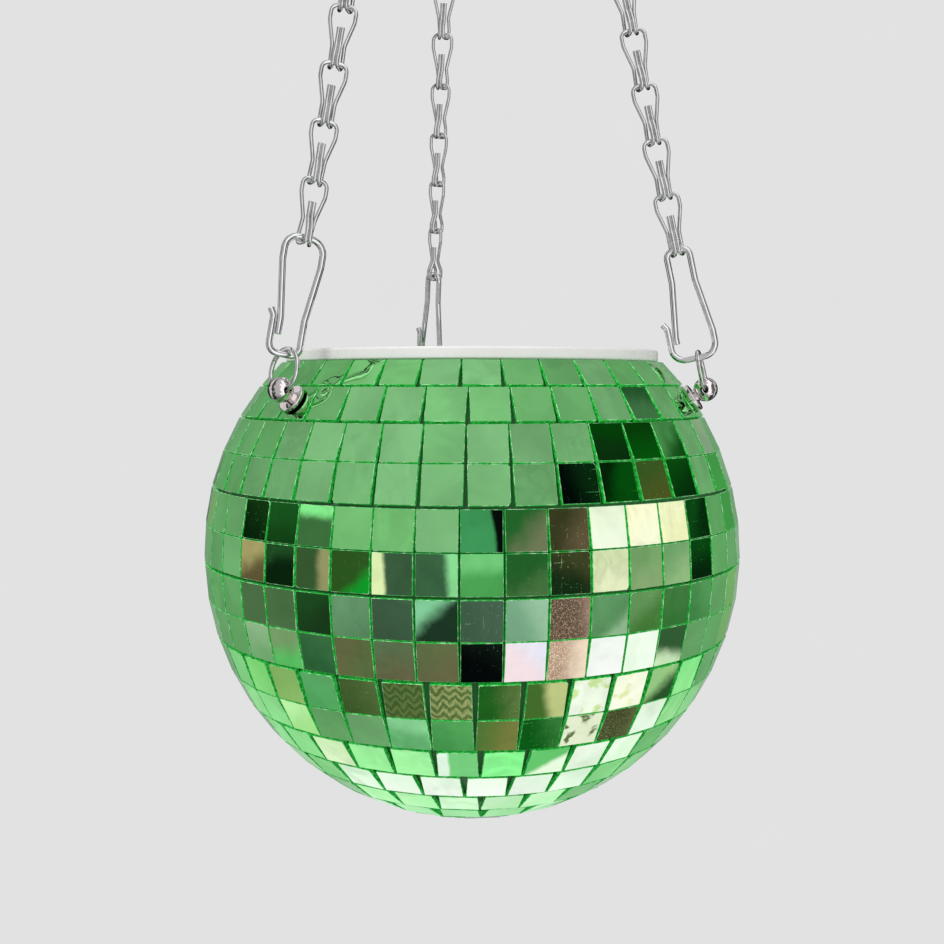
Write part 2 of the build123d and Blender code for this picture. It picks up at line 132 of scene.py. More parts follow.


# How the front tiles look in their room. For each row, from one latitude to another: from one azimuth to
# another, how the tiles there look. Elsewhere they are green and face light of middling brightness. Tiles
# given
# as two colours carry painted reflection: their tones hold the colours of what a tile reflects as well as the
# tint of its glass
ROOM = [
    (38.1, 44.8, [
        (-32, 7.3, even(GREEN, 0.60)),
        (7.3, 17.3, even(GREEN, 0.50)),
    ]),
    (30.3, 38.1, [
        (-32, 8.6, even(GREEN, 0.60)),
        (8.6, 37, even(GREEN, 0.47)),
        (37, 46.5, shown((64, 116, 70), (34, 82, 40), 85, 0.1, 0.8)),
    ]),
    (22.5, 30.3, [
        (-32, 7.4, even(GREEN, 0.58)),
        (7.4, 24, even(GREEN, 0.47)),
        (24, 33, shown((4, 62, 8), (10, 44, 12), -90)),
        (33, 41.5, shown((4, 78, 10), (6, 60, 8), 90)),
        (41.5, 51, shown((66, 134, 70), (10, 72, 14), -50, 0.25, 0.7)),
    ]),
    (14.7, 22.5, [
        (-32, 7.4, even(GREEN, 0.56)),
        (13.6, 22, shown((8, 40, 14), (2, 10, 6), 200, 0, 0.8, wear=0.35)),
        (22, 33, shown((4, 74, 12), (2, 34, 6), 160, 0.3, 0.5, wear=0.3)),
        (33, 41, shown((56, 86, 32), (76, 88, 34), -60, 0.2, 0.8, wear=0.4)),
        (41, 53, shown((6, 72, 12), (4, 44, 10), -60)),
    ]),
    (7, 14.7, [
        (-49, -41.3, shown((8, 34, 10), (16, 50, 16), 60, wear=0.4)),
        (-41.3, -33.5, shown((18, 66, 22), (24, 84, 30), 90)),
        (-33.5, -25.7, shown((58, 110, 58), (132, 236, 140), 88, 0.5, 0.3)),
        (-25.7, -2.2, even(GREEN, 0.60)),
        (-2.2, 5.6, shown((60, 148, 86), (3, 9, 6), 8, 0.58, 0.12)),
        (5.6, 13.5, shown((34, 98, 40), (112, 122, 88), -45, 0.15, 0.8, wear=0.3)),
        (13.5, 21.3, shown((54, 58, 30), (94, 84, 58), -30, 0.2, 0.9, wear=0.9)),
        (21.3, 29.1, shown((236, 247, 222), (230, 244, 212))),
        (29.1, 36.9, shown((250, 250, 208), (246, 250, 216), -60)),
        (36.9, 44.8, shown((240, 245, 196), (242, 243, 190), -60, 0.1, 0.9)),
        (44.8, 53, shown((8, 66, 18), (4, 40, 10), -20, 0, 0.6, wear=0.3)),
    ]),
    (-0.8, 7, [
        (-49.2, -41.3, shown((168, 160, 104), (92, 82, 50), -70, 0.1, 0.6)),
        (-41.3, -33.5, shown((8, 34, 12), (30, 74, 34), 100, 0.3, 0.5, wear=0.3)),
        (-33.5, -25.7, shown((52, 86, 46), (148, 150, 100), 0, 0.35, 0.3)),
        (-25.7, -17.9, shown((42, 84, 28), (12, 150, 40), -50, 0.6, 0.4, wear=0.3)),
        (-17.9, -10, shown((214, 232, 170), (54, 88, 58), 4, -0.4, 0.16)),
        (-10, -2.2, shown((54, 96, 62), (136, 218, 146), 4, 0.5, 0.24, wear=0.3)),
        (-2.2, 5.6, shown((72, 160, 80), (112, 200, 120), 95, 0.15, 0.4)),
        (5.6, 13.5, shown((34, 94, 40), (74, 118, 66), -60, 0.4, 0.9, wear=0.35)),
        (13.5, 21.3, shown((20, 44, 20), (60, 66, 36), 60, 0.1, 0.8, wear=0.8)),
        (21.3, 29.1, shown((208, 224, 172), (224, 232, 190), -70)),
        (29.1, 36.9, shown((118, 166, 104), (136, 168, 114), -80, 0.1, 0.9)),
        (36.9, 44.8, shown((108, 160, 102), (140, 178, 122), -60)),
        (44.8, 53, shown((8, 68, 18), (4, 36, 10), -90, 0, 0.7, wear=0.3)),
    ]),
    (-8.6, -0.8, [
        (-49, -33, even(GREEN, 0.20, 0.2)),
        (-33, -25.7, shown((28, 72, 30), (24, 56, 26), -60)),
        (-25.7, -17.9, shown((88, 136, 94), (100, 148, 106), 120)),
        (-17.9, -10, shown((58, 86, 62), (62, 94, 68), 30)),
        (-10, -2.2, shown((128, 200, 150), (24, 52, 32), -45, -0.3, 0.45)),
        (-2.2, 5.6, shown((58, 88, 66), (72, 100, 80), 20, wear=0.35)),
        (5.6, 13.5, shown((118, 168, 132), (152, 194, 160), 20, 0.2, 0.8, wear=1.0)),
        (13.5, 21.3, shown((84, 70, 52), (176, 148, 128), 0, 0.9, 1.0, SPECKLED)),
        (21.3, 29.1, shown((92, 148, 96), (146, 186, 144), -45, 0.65, 0.35, wear=0.3)),
        (29.1, 36.9, shown((102, 152, 90), (68, 124, 56), -60, 0, 0.8, wear=0.2)),
        (36.9, 44.8, shown((50, 110, 50), (64, 122, 62), 90)),
        (44.8, 53, shown((66, 136, 72), (82, 146, 86), 20)),
    ]),
    (-16.4, -8.6, [
        (-49.2, -41.3, shown((118, 172, 116), (140, 176, 132), 100)),
        (-41.3, -33.5, shown((120, 158, 104), (88, 188, 96), -80, 0.1, 0.6)),
        (-33.5, -25.7, shown((42, 94, 52), (54, 106, 62), 60)),
        (-25.7, -17.9, shown((96, 100, 64), (86, 106, 62), -20)),
        (-17.9, -10, shown((88, 112, 76), (98, 100, 68), -80)),
        (-10, -2.2, shown((92, 106, 66), (98, 98, 66), -60)),
        (-2.2, 5.6, shown((4, 8, 8), (14, 24, 18), 60, 0.4, 0.8)),
        (5.6, 13.5, shown((245, 226, 230), (232, 233, 245), 45, 0.3, 0.7)),
        (13.5, 21.3, shown((176, 146, 122), (240, 220, 194), -5, 0.25, 0.8, SPECKLED)),
        (21.3, 29.1, shown((245, 248, 243), (238, 247, 238))),
        (29.1, 36.9, shown((232, 251, 228), (240, 252, 236), 30)),
        (36.9, 44.8, shown((44, 86, 46), (208, 238, 192), -100, 0.4, 0.45, wear=0.2)),
    ]),
    (-24.2, -16.4, [
        (-62, -53.4, even(GREEN, 0.76)),
        (-53.4, -44.4, shown((146, 224, 132), (128, 214, 116), 60)),
        (-44.4, -35.4, even(OLIVE, 0.58)),
        (-35.4, -26.4, shown((78, 160, 90), (90, 166, 100), 80)),
        (-26.4, -17.4, shown((60, 88, 40), (78, 104, 56), 30, wear=0.4)),
        (-17.4, -8.4, shown((58, 88, 40), (94, 114, 62), pattern=ZIGZAG)),
        (-8.4, 0.6, shown((78, 104, 50), (152, 164, 104), pattern=ZIGZAG)),
        (0.6, 9.6, shown((30, 94, 28), (92, 118, 62), 0, 0.3, 0.9, wear=0.4)),
        (9.6, 18.6, shown((68, 110, 42), (192, 204, 134), 12, 0.05, 0.35, wear=0.2)),
        (18.6, 27.6, shown((240, 251, 230), (204, 232, 158), pattern=SPOTTED)),
        (27.6, 36.6, shown((247, 250, 226), (226, 236, 172), pattern=SPOTTED)),
        (36.6, 45.6, shown((158, 206, 136), (34, 74, 34), -50, 0.1, 0.6, wear=0.3)),
        (45.6, 54, shown((156, 232, 152), (140, 236, 144))),
    ]),
    (-32, -24.2, [
        (-62, -44.4, even(GREEN, 0.85)),
        (-44.4, -35.4, shown((196, 244, 172), (176, 238, 150), -60)),
        (-17.4, -8.4, shown((98, 174, 110), (134, 208, 146), 75, 0.2, 0.5)),
        (-8.4, 0.6, shown((66, 146, 74), (80, 158, 86), 60)),
        (0.6, 9.6, shown((120, 126, 62), (84, 122, 54), 170, 0.1, 0.9, wear=0.2)),
        (9.6, 18.6, shown((8, 86, 20), (50, 118, 52), 20, 0.3, 0.8, wear=0.8)),
        (18.6, 27.6, shown((238, 248, 216), (92, 114, 56), pattern=SPOTTED)),
        (27.6, 36.6, shown((60, 70, 36), (122, 124, 84), 0, 0.9, 1.0, SPECKLED)),
        (36.6, 46, shown((246, 253, 243), (238, 250, 232))),
        (46, 55, shown((168, 230, 162), (150, 222, 146))),
        (55, 62, even(GREEN, 0.80)),
    ]),
    (-39.8, -32, [
        (-60, -39, even(GREEN, 0.85)),
        (-39, -29, shown((228, 242, 206), (214, 238, 190))),
        (-29, -8.4, even(GREEN, 1.05)),
        (-8.4, 1.9, shown((226, 248, 228), (118, 206, 126), 0, -0.45, 0.1)),
        (1.9, 12.2, shown((140, 250, 150), (132, 244, 140), 30)),
        (12.2, 22.5, shown((98, 194, 106), (234, 251, 224), -50, 0.2, 0.25, wear=0.2)),
        (22.5, 43, shown((249, 254, 242), (238, 252, 232), -40)),
        (43, 62, even(GREEN, 0.62)),
    ]),
    (-47.6, -39.8, [
        (-60, -37, even(GREEN, 0.74)),
        (-37, 33, shown((252, 254, 248), (240, 252, 236), 70)),
        (33, 60, even(GREEN, 0.8)),
    ]),
    (-56, -47.6, [
        (-60, -37.3, even(GREEN, 0.66)),
        (-37.3, -10.7, shown((212, 253, 204), (190, 248, 186), 30)),
        (-10.7, 2.7, shown((242, 254, 236), (226, 252, 220), 60)),
        (2.7, 29.3, shown((230, 254, 222), (212, 252, 206), -30)),
        (30, 60, even(GREEN, 0.62)),
    ]),
    (-64, -56, [
        (-46, 46, shown((184, 240, 184), (164, 232, 168), 20)),
    ]),
]


def facing(azimuth, latitude):
    """Outward direction at an azimuth from the front, positive to the right, and a latitude."""
    a, b = math.radians(azimuth), math.radians(latitude)
    return Vector((math.sin(a) * math.cos(b), -math.cos(a) * math.cos(b), math.sin(b)))


TO_EYE = (EYE - CENTRE).normalized()


def room_angles(azimuth, latitude):
    """Azimuth and latitude of the half-way direction to what a tile there reflects to the front."""
    normal = facing(azimuth, latitude)
    sight = (EYE - CENTRE - normal * R).normalized()
    seen = 2 * normal.dot(sight) * normal - sight
    half = (seen + TO_EYE).normalized()
    return math.degrees(math.atan2(half.x, -half.y)), math.degrees(math.asin(half.z))


# ---- Node helpers -----------------------------------------------------------------------------
class Tree:
    """Short-hand for adding and linking shader nodes."""

    def __init__(self, tree):
        self.tree = tree
        self.tree.nodes.clear()

    def put(self, kind, inputs=None, **settings):
        node = self.tree.nodes.new(kind)
        for name, value in settings.items():
            setattr(node, name, value)
        for name, value in (inputs or {}).items():
            self.feed(node.inputs[name], value)
        return node

    def feed(self, socket, value):
        if isinstance(value, bpy.types.NodeSocket):
            self.tree.links.new(value, socket)
        else:
            socket.default_value = value

    def maths(self, operation, *values):
        node = self.tree.nodes.new("ShaderNodeMath")
        node.operation = operation
        for socket, value in zip(node.inputs, values):
            self.feed(socket, value)
        return node.outputs[0]

    def ramp(self, value, low, high, soft=True, start=0.0, end=1.0):
        node = self.put("ShaderNodeMapRange")
        node.interpolation_type = "SMOOTHSTEP" if soft else "LINEAR"
        for name, number in (
            ("Value", value), ("From Min", low), ("From Max", high), ("To Min", start), ("To Max", end)
        ):
            self.feed(node.inputs[name], number)
        return node.outputs[0]

    def mix(self, factor, first, second, mode="MIX"):
        node = self.put("ShaderNodeMix", data_type="RGBA", blend_type=mode)
        self.feed(node.inputs[0], factor)
        for socket, value in ((node.inputs[6], first), (node.inputs[7], second)):
            if isinstance(value, tuple) and len(value) == 3:
                value = (*value, 1.0)
            self.feed(socket, value)
        return node.outputs[2]

    def noise(self, vector, scale, detail=3.0, rough=0.5):
        node = self.put("ShaderNodeTexNoise", {"Scale": scale, "Detail": detail, "Roughness": rough})
        self.feed(node.inputs["Vector"], vector)
        return node.outputs["Fac"]


def new_material(name):
    material = bpy.data.materials.new(name)
    material.use_nodes = True
    return material, Tree(material.node_tree)


def object_space(t):
    return t.put("ShaderNodeTexCoord").outputs["Object"]


def bump(t, height, strength, distance):
    node = t.put("ShaderNodeBump", {"Strength": strength, "Distance": distance})
    t.feed(node.inputs["Height"], height)
    return node.outputs["Normal"]


def surface(t, **inputs):
    names = {
        "color": "Base Color", "metallic": "Metallic", "rough": "Roughness", "normal": "Normal",
        "coat": "Coat Weight", "coat_rough": "Coat Roughness",
    }
    shader = t.put("ShaderNodeBsdfPrincipled")
    for name, value in inputs.items():
        if isinstance(value, tuple) and len(value) == 3:
            value = (*value, 1.0)
        t.feed(shader.inputs[names[name]], value)
    out = t.put("ShaderNodeOutputMaterial")
    t.tree.links.new(shader.outputs[0], out.inputs["Surface"])
    return shader


# ---- World ------------------------------------------------------------------------------------
def row_ramp(t, along, latitude, patches):
    """Room light along one row of tiles, as a ramp over the azimuth; 1 in the ramp stands for BRIGHTEST."""
    stops = []
    last = None
    for low, high, tile in patches:
        a0, a1 = room_angles(low, latitude)[0], room_angles(high, latitude)[0]
        if last is None or a0 - last > 3:
            if last is not None:
                stops.append((last + ROOM_SOFT, warm(MID, 0)))
            stops.append((a0 - ROOM_SOFT, warm(MID, 0)))
        stops += [(a0 + ROOM_SOFT, tile["level"]), (a1 - ROOM_SOFT, tile["level"])]
        last = a1
    stops.append((last + ROOM_SOFT, warm(MID, 0)))
    node = t.put("ShaderNodeValToRGB", {0: along})
    elements = node.color_ramp.elements
    elements.remove(elements[1])
    elements[0].position = 0.0
    elements[0].color = (*(c / BRIGHTEST for c in warm(MID, 0)), 1.0)
    for angle, color in stops:
        element = elements.new((angle + 90) / 180)
        element.color = (*(min(1.0, c / BRIGHTEST) for c in color), 1.0)
    scaled = t.put("ShaderNodeVectorMath", {0: node.outputs[0]}, operation="SCALE")
    t.feed(scaled.inputs["Scale"], BRIGHTEST)
    return scaled.outputs[0]


# Soft boxes and dark cards round bright metal: azimuth from the front, brightness
STUDIO = [
    (-84, 0.02), (-56, 0.03), (-52, 0.55), (-40, 0.62), (-36, 0.05), (-28, 0.04), (-24, 0.36), (4, 0.46),
    (8, 0.95), (24, 0.95), (28, 0.14), (40, 0.06), (44, 0.50), (54, 0.44), (58, 0.02), (84, 0.02),
]


def make_world():
    """Tiles see the room, metal of no roughness sees the studio, and the camera sees plain grey.

    The room is fixed in space. It is laid out by the half-way direction to EYE, a constant, so that each tile
    of the resting ball faces its own patch of it.
    """
    world = bpy.data.worlds.new("room")
    bpy.context.scene.world = world
    world.use_nodes = True
    t = Tree(world.node_tree)
    direction = t.put("ShaderNodeTexCoord").outputs["Generated"]
    total = t.put("ShaderNodeVectorMath", {0: direction, 1: TO_EYE}, operation="ADD").outputs[0]
    half = t.put("ShaderNodeVectorMath", {0: total}, operation="NORMALIZE").outputs[0]
    parts = t.put("ShaderNodeSeparateXYZ", {0: half})
    turn = t.maths("ARCTAN2", parts.outputs[0], t.maths("MULTIPLY", parts.outputs[1], -1.0))
    azimuth = t.maths("MULTIPLY", turn, 180 / math.pi)
    latitude = t.maths("MULTIPLY", t.maths("ARCSINE", parts.outputs[2]), 180 / math.pi)

    broad = t.noise(direction, 1.7, 2.0)
    fine = t.noise(direction, 14.0, 3.0, 0.55)
    base = t.mix(t.ramp(broad, 0.36, 0.46), warm(0.07, 0), warm(MID, 0))
    base = t.mix(t.ramp(broad, 0.60, 0.68), base, warm(1.9, 0))
    front_x = t.maths("MULTIPLY", t.ramp(azimuth, -84, -74), t.ramp(azimuth, 74, 84, True, 1.0, 0.0))
    base = t.mix(front_x, base, warm(MID, 0))
    along = t.ramp(azimuth, -90.0, 90.0, False)
    for low, high, patches in ROOM:
        strip = row_ramp(t, along, (low + high) / 2, patches)
        l0, l1 = room_angles(0, low)[1], room_angles(0, high)[1]
        above = t.ramp(latitude, l0 - ROOM_SOFT, l0 + ROOM_SOFT)
        below = t.ramp(latitude, l1 - ROOM_SOFT, l1 + ROOM_SOFT, True, 1.0, 0.0)
        mask = t.maths("MULTIPLY", above, below)
        base = t.mix(t.maths("MULTIPLY", mask, front_x), base, strip)
    detail = t.ramp(fine, 0.3, 0.7, False, 0.86, 1.12)
    lit = t.mix(1.0, base, detail, "MULTIPLY")

    stir = t.maths("MULTIPLY", t.maths("SUBTRACT", t.noise(direction, 2.2, 2.0), 0.5), 46.0)
    across = t.ramp(t.maths("ADD", azimuth, stir), -90.0, 90.0, False)
    cards = t.put("ShaderNodeValToRGB", {0: across})
    cards.color_ramp.elements.remove(cards.color_ramp.elements[1])
    cards.color_ramp.elements[0].color = (0.02, 0.02, 0.02, 1.0)
    for angle, tone in STUDIO:
        cards.color_ramp.elements.new((angle + 90) / 180).color = (tone, tone, tone * 1.01, 1.0)
    low = t.mix(t.ramp(latitude, -40.0, -8.0), (0.13, 0.17, 0.13), (1.0, 1.0, 1.0))
    studio = t.mix(1.0, cards.outputs[0], low, "MULTIPLY")

    plain = t.put("ShaderNodeBackground", {"Color": (0.76, 0.76, 0.765, 1.0), "Strength": 1.0})
    room = t.put("ShaderNodeBackground", {"Color": lit, "Strength": 1.0})
    ambient = t.put("ShaderNodeBackground", {"Color": (0.9, 0.9, 0.9, 1.0), "Strength": 0.75})
    path = t.put("ShaderNodeLightPath")
    boxes = t.put("ShaderNodeBackground", {"Color": studio, "Strength": 1.25})

    def choose(kind, others, these):
        mixed = t.put("ShaderNodeMixShader", {0: path.outputs[kind], 1: others, 2: these})
        return mixed.outputs[0]

    mirrored = choose("Is Singular Ray", room.outputs[0], boxes.outputs[0])
    glossy = choose("Is Glossy Ray", ambient.outputs[0], mirrored)
    seen = choose("Is Camera Ray", glossy, plain.outputs[0])
    t.put("ShaderNodeOutputWorld", {"Surface": seen})


make_world()


# ---- Lights and backdrop ----------------------------------------------------------------------
def soft_light(name, place, target, size, power):
    data = bpy.data.lights.new(name, "AREA")
    data.shape = "DISK"
    data.size = size
    data.energy = power
    light = bpy.data.objects.new(name, data)
    light.location = place
    light.rotation_euler = (target - place).to_track_quat("-Z", "Y").to_euler()
    light.visible_glossy = False
    bpy.context.scene.collection.objects.link(light)


soft_light("key", CENTRE + Vector((-1.1, -1.2, 1.6)), CENTRE, 1.2, 26)
soft_light("fill", CENTRE + Vector((1.6, -1.0, 0.4)), CENTRE, 1.4, 9)


def backdrop():
    """Pale floor that curves up into a wall well behind the object."""
    floor_z = CENTRE.z - 0.75
    profile = [(-3.0, floor_z), (2.0, floor_z)]
    for step in range(1, 12):
        angle = math.radians(step * 90 / 12)
        profile.append((2.0 + 1.5 * math.sin(angle), floor_z + 1.5 - 1.5 * math.cos(angle)))
    profile += [(3.5, floor_z + 1.5), (3.5, floor_z + 6.0)]
    mesh = bpy.data.meshes.new("backdrop")
    rows = []
    for y, z in profile:
        rows.append([(-6.0, y, z), (6.0, y, z)])
    verts = [p for row in rows for p in row]
    faces = [(2 * i, 2 * i + 1, 2 * i + 3, 2 * i + 2) for i in range(len(profile) - 1)]
    mesh.from_pydata(verts, [], faces)
    mesh.update()
    mesh.polygons.foreach_set("use_smooth", [True] * len(mesh.polygons))
    material, t = new_material("backdrop")
    grain = t.noise(object_space(t), 3.0)
    tone = t.mix(grain, (0.752, 0.752, 0.758), (0.768, 0.768, 0.774))
    glow = t.put("ShaderNodeEmission", {"Color": tone, "Strength": 1.0})
    out = t.put("ShaderNodeOutputMaterial")
    t.tree.links.new(glow.outputs[0], out.inputs["Surface"])
    mesh.materials.append(material)
    stage = bpy.data.objects.new("backdrop", mesh)
    stage.visible_glossy = False
    stage.visible_diffuse = False
    bpy.context.scene.collection.objects.link(stage)


backdrop()


# ---- Materials --------------------------------------------------------------------------------
def mirror_glass():
    """Face of a tile: tinted mirror that shows two tones of painted reflection, a little warped, scratched
    and dusty by tile.
    """
    material, t = new_material("mirror_glass")
    where = object_space(t)
    first = t.put("ShaderNodeVertexColor", layer_name="tint")
    second = t.put("ShaderNodeVertexColor", layer_name="tone")
    fade, worn, kind = (
        t.put("ShaderNodeAttribute", attribute_name=name).outputs["Fac"]
        for name in ("fade", "wear", "pattern")
    )
    uv = t.put("ShaderNodeSeparateXYZ", {0: t.put("ShaderNodeUVMap", uv_map="tile").outputs[0]})
    # Share of the second tone, a painted reflection, at each point: the fade across the tile, broken up by
    # noise
    soft = second.outputs["Alpha"]
    cloud = t.maths("MULTIPLY", t.maths("SUBTRACT", t.noise(where, 170.0, 4.0, 0.6), 0.5), 1.1)
    lie = t.maths("ADD", fade, t.maths("MULTIPLY", cloud, t.maths("ADD", soft, 0.15)))
    blend = t.ramp(lie, t.maths("MULTIPLY", soft, -1.0), soft)

    # Speckled, zigzag and spotted tiles: patterns of painted reflection in the second tone
    grains = t.ramp(t.noise(where, 2300.0, 2.0, 0.7), 0.48, 0.66)
    speckled = t.maths("MULTIPLY", grains, t.maths("COMPARE", kind, float(SPECKLED), 0.4))
    wave = t.maths("PINGPONG", t.maths("MULTIPLY", uv.outputs[0], 3.3), 0.5)
    rise = t.maths("ADD", t.maths("MULTIPLY", uv.outputs[1], 4.2), t.maths("MULTIPLY", wave, 1.5))
    rise = t.maths("ADD", rise, t.maths("MULTIPLY", cloud, 1.7))
    speck = t.maths("MULTIPLY", t.maths("SUBTRACT", t.noise(where, 1300.0, 3.0, 0.7), 0.5), 3.6)
    wavy = t.maths("ADD", t.maths("SINE", t.maths("MULTIPLY", rise, 2 * math.pi)), speck)
    stripe = t.ramp(wavy, -1.3, 1.5)
    zigzag = t.maths("MULTIPLY", stripe, t.maths("COMPARE", kind, float(ZIGZAG), 0.4))
    blots = t.ramp(t.noise(where, 210.0, 2.0, 0.5), 0.54, 0.66)
    spotted = t.maths("MULTIPLY", blots, t.maths("COMPARE", kind, float(SPOTTED), 0.4))
    share = t.maths("MAXIMUM", t.maths("MAXIMUM", blend, speckled), t.maths("MAXIMUM", zigzag, spotted))
    # The tile's colour: the tint of its glass, with painted reflection in both tones
    tone = t.mix(share, first.outputs["Color"], second.outputs["Color"])

    lines = []
    for scale, turn in (((160.0, 160.0, 3200.0), (0.5, 0.9, 0.4)), ((3000.0, 240.0, 200.0), (0.2, 0.4, 1.1))):
        drawn = t.put("ShaderNodeMapping", {"Vector": where, "Scale": scale, "Rotation": turn})
        lines.append(t.noise(drawn.outputs[0], 1.0, 3.0, 0.6))
    hair = t.ramp(t.maths("MAXIMUM", *lines), 0.69, 0.74)
    dust = t.maths("MULTIPLY", t.ramp(t.noise(where, 1900.0, 2.0), 0.70, 0.76), 0.7)
    wear = t.maths("MULTIPLY", t.maths("MAXIMUM", hair, dust), worn)
    rough = t.maths("ADD", 0.012, t.maths("MULTIPLY", wear, 0.35))
    color = t.mix(t.maths("MULTIPLY", wear, 0.5), tone, (0.80, 0.90, 0.76))
    warp = t.put("ShaderNodeBump", {"Distance": 0.001})
    t.feed(warp.inputs["Strength"], first.outputs["Alpha"])
    t.feed(warp.inputs["Height"], t.noise(where, 75.0, 1.0, 0.4))
    pit = t.put("ShaderNodeBump", {"Strength": 0.25, "Distance": 0.0001})
    t.feed(pit.inputs["Height"], wear)
    t.feed(pit.inputs["Normal"], warp.outputs["Normal"])
    shader = surface(
        t, color=color, metallic=1.0, rough=rough, normal=pit.outputs["Normal"], coat=0.1, coat_rough=0.02
    )
    shader.inputs["Specular Tint"].default_value = (0.60, 0.94, 0.62, 1.0)
    return material


def glass_edge():
    """Cut edge of green-tinted glass, with a painted glow for the light that comes through it from the face.
    """
    material, t = new_material("glass_edge")
    where = object_space(t)
    chip = t.noise(where, 900.0, 4.0, 0.7)
    color = t.mix(t.ramp(chip, 0.40, 0.62), (0.002, 0.26, 0.02), (0.05, 0.62, 0.10))
    color = t.mix(t.ramp(chip, 0.66, 0.72), color, (0.50, 0.92, 0.50))
    chipped = bump(t, chip, 0.6, 0.0003)
    shader = surface(t, color=color, metallic=0.0, rough=0.2, normal=chipped, coat=0.7, coat_rough=0.06)
    # Painted glow: the edge emits its own colour, standing in for light carried through the glass
    t.feed(shader.inputs["Emission Color"], color)
    shader.inputs["Emission Strength"].default_value = 0.32
    return material


def bright_edge():
    """Ground arris of the glass, painted as a thin pale line with a faint glow: a painted highlight for the
    light it catches.
    """
    material, t = new_material("glass_arris")
    where = object_space(t)
    broken = t.noise(where, 420.0, 3.0, 0.7)
    # Green broken by pale: the pale parts are the painted highlight of the arris
    color = t.mix(t.ramp(broken, 0.46, 0.64), (0.03, 0.46, 0.07), (0.55, 0.92, 0.55))
    shader = surface(t, color=color, metallic=0.3, rough=0.18, normal=bump(t, broken, 0.3, 0.0002))
    # Painted highlight: the arris also emits its colour, a faint glow for the light it catches
    t.feed(shader.inputs["Emission Color"], color)
    shader.inputs["Emission Strength"].default_value = 0.16
    return material


def core():
    material, t = new_material("ball_core")
    where = object_space(t)
    blotch = t.noise(where, 90.0, 4.0)
    color = t.mix(blotch, (0.022, 0.11, 0.03), (0.075, 0.25, 0.095))
    rough = t.ramp(blotch, 0.3, 0.7, False, 0.35, 0.75)
    surface(t, color=color, rough=rough, normal=bump(t, t.noise(where, 400.0), 0.4, 0.0005))
    return material


def liner():
    material, t = new_material("liner_white")
    where = object_space(t)
    cloud = t.noise(where, 40.0, 4.0)
    color = t.mix(cloud, (0.70, 0.69, 0.67), (0.84, 0.84, 0.82))
    rough = t.ramp(t.noise(where, 300.0), 0.3, 0.7, False, 0.24, 0.42)
    moulded = bump(t, t.noise(where, 900.0), 0.08, 0.0003)
    surface(t, color=color, rough=rough, normal=moulded, coat=0.3, coat_rough=0.15)
    return material


def chrome(name, tone, scale, mark):
    """Bright plating with faint marks and smears. Its roughness stays 0, by which the world knows it."""
    material, t = new_material(name)
    where = object_space(t)
    smear = t.noise(where, scale, 4.0, 0.6)
    dull = t.mix(t.ramp(smear, 0.45, 0.75), tone, tuple(c * 0.72 for c in tone))
    marked = bump(t, t.noise(where, scale * 2, 2.0), mark, 0.0002)
    surface(t, color=dull, metallic=1.0, rough=0.0, normal=marked)
    return material


def zinc():
    """Dull blue-white plating of the nuts and washers."""
    material, t = new_material("zinc_plating")
    where = object_space(t)
    patch = t.noise(where, 500.0, 4.0, 0.6)
    color = t.mix(patch, (0.48, 0.49, 0.50), (0.66, 0.67, 0.68))
    rough = t.ramp(patch, 0.3, 0.7, False, 0.22, 0.42)
    grainy = bump(t, t.noise(where, 2400.0, 2.0), 0.06, 0.0002)
    surface(t, color=color, metallic=1.0, rough=rough, normal=grainy)
    return material


MIRROR = mirror_glass()
EDGE = glass_edge()
ARRIS = bright_edge()
FINISHES = {
    "ball_core": core(),
    "liner": liner(),
    "chain_wire": chrome("chain_plating", (0.80, 0.80, 0.80), 180.0, 0.004),
    "clip_wire": chrome("clip_plating", (0.84, 0.84, 0.85), 160.0, 0.004),
    "ring_wire": chrome("ring_plating", (0.82, 0.80, 0.80), 180.0, 0.03),
    "hanger_studs": chrome("stud_plating", (0.84, 0.79, 0.78), 220.0, 0.05),
    "fasteners": zinc(),
    "top_ring": chrome("top_ring_plating", (0.88, 0.88, 0.89), 200.0, 0.05),
    "swivel": chrome("swivel_plating", (0.88, 0.88, 0.89), 200.0, 0.05),
    "hook": chrome("hook_plating", (0.88, 0.88, 0.89), 180.0, 0.05),
}


def dress_cad():
    """Give the CAD nodes that stay in view their finished materials."""
    slots = {part["node"]: part["material_slot"] for part in frame["record"]["subparts"]}
    for name, node in frame["nodes"].items():
        finish = FINISHES.get(slots[name])
        if finish:
            for slot in node.material_slots:
                slot.material = finish


dress_cad()


# ---- Tiles ------------------------------------------------------------------------------------
def band_rows():
    """Latitude and height of each row, by band, from the top down."""
    rows = []
    head = TOP_LATITUDE
    for count, _, _ in BANDS:
        foot = FIRST_FOOT if not rows else head - count * ROW_PITCH
        middle = (head + foot) / 2
        if count == 1:
            height = min(TILE, math.radians(head - foot) * R - ROW_GAP)
            rows.append([(middle, height)])
        else:
            rows.append([(middle + STRIP_PITCH / 2, TILE), (middle - STRIP_PITCH / 2, TILE)])
        head = foot
    return rows


def tile_width(latitude, height, count):
    """Widest tile of a row whose inner edges still clear its neighbours."""
    inner = R - THICK
    edge = math.radians(abs(latitude)) + math.atan2(height / 2, inner)
    narrow = math.hypot(inner, height / 2) * math.cos(edge)
    return min(TILE, 2 * narrow * math.tan(math.pi / count) - JOINT)


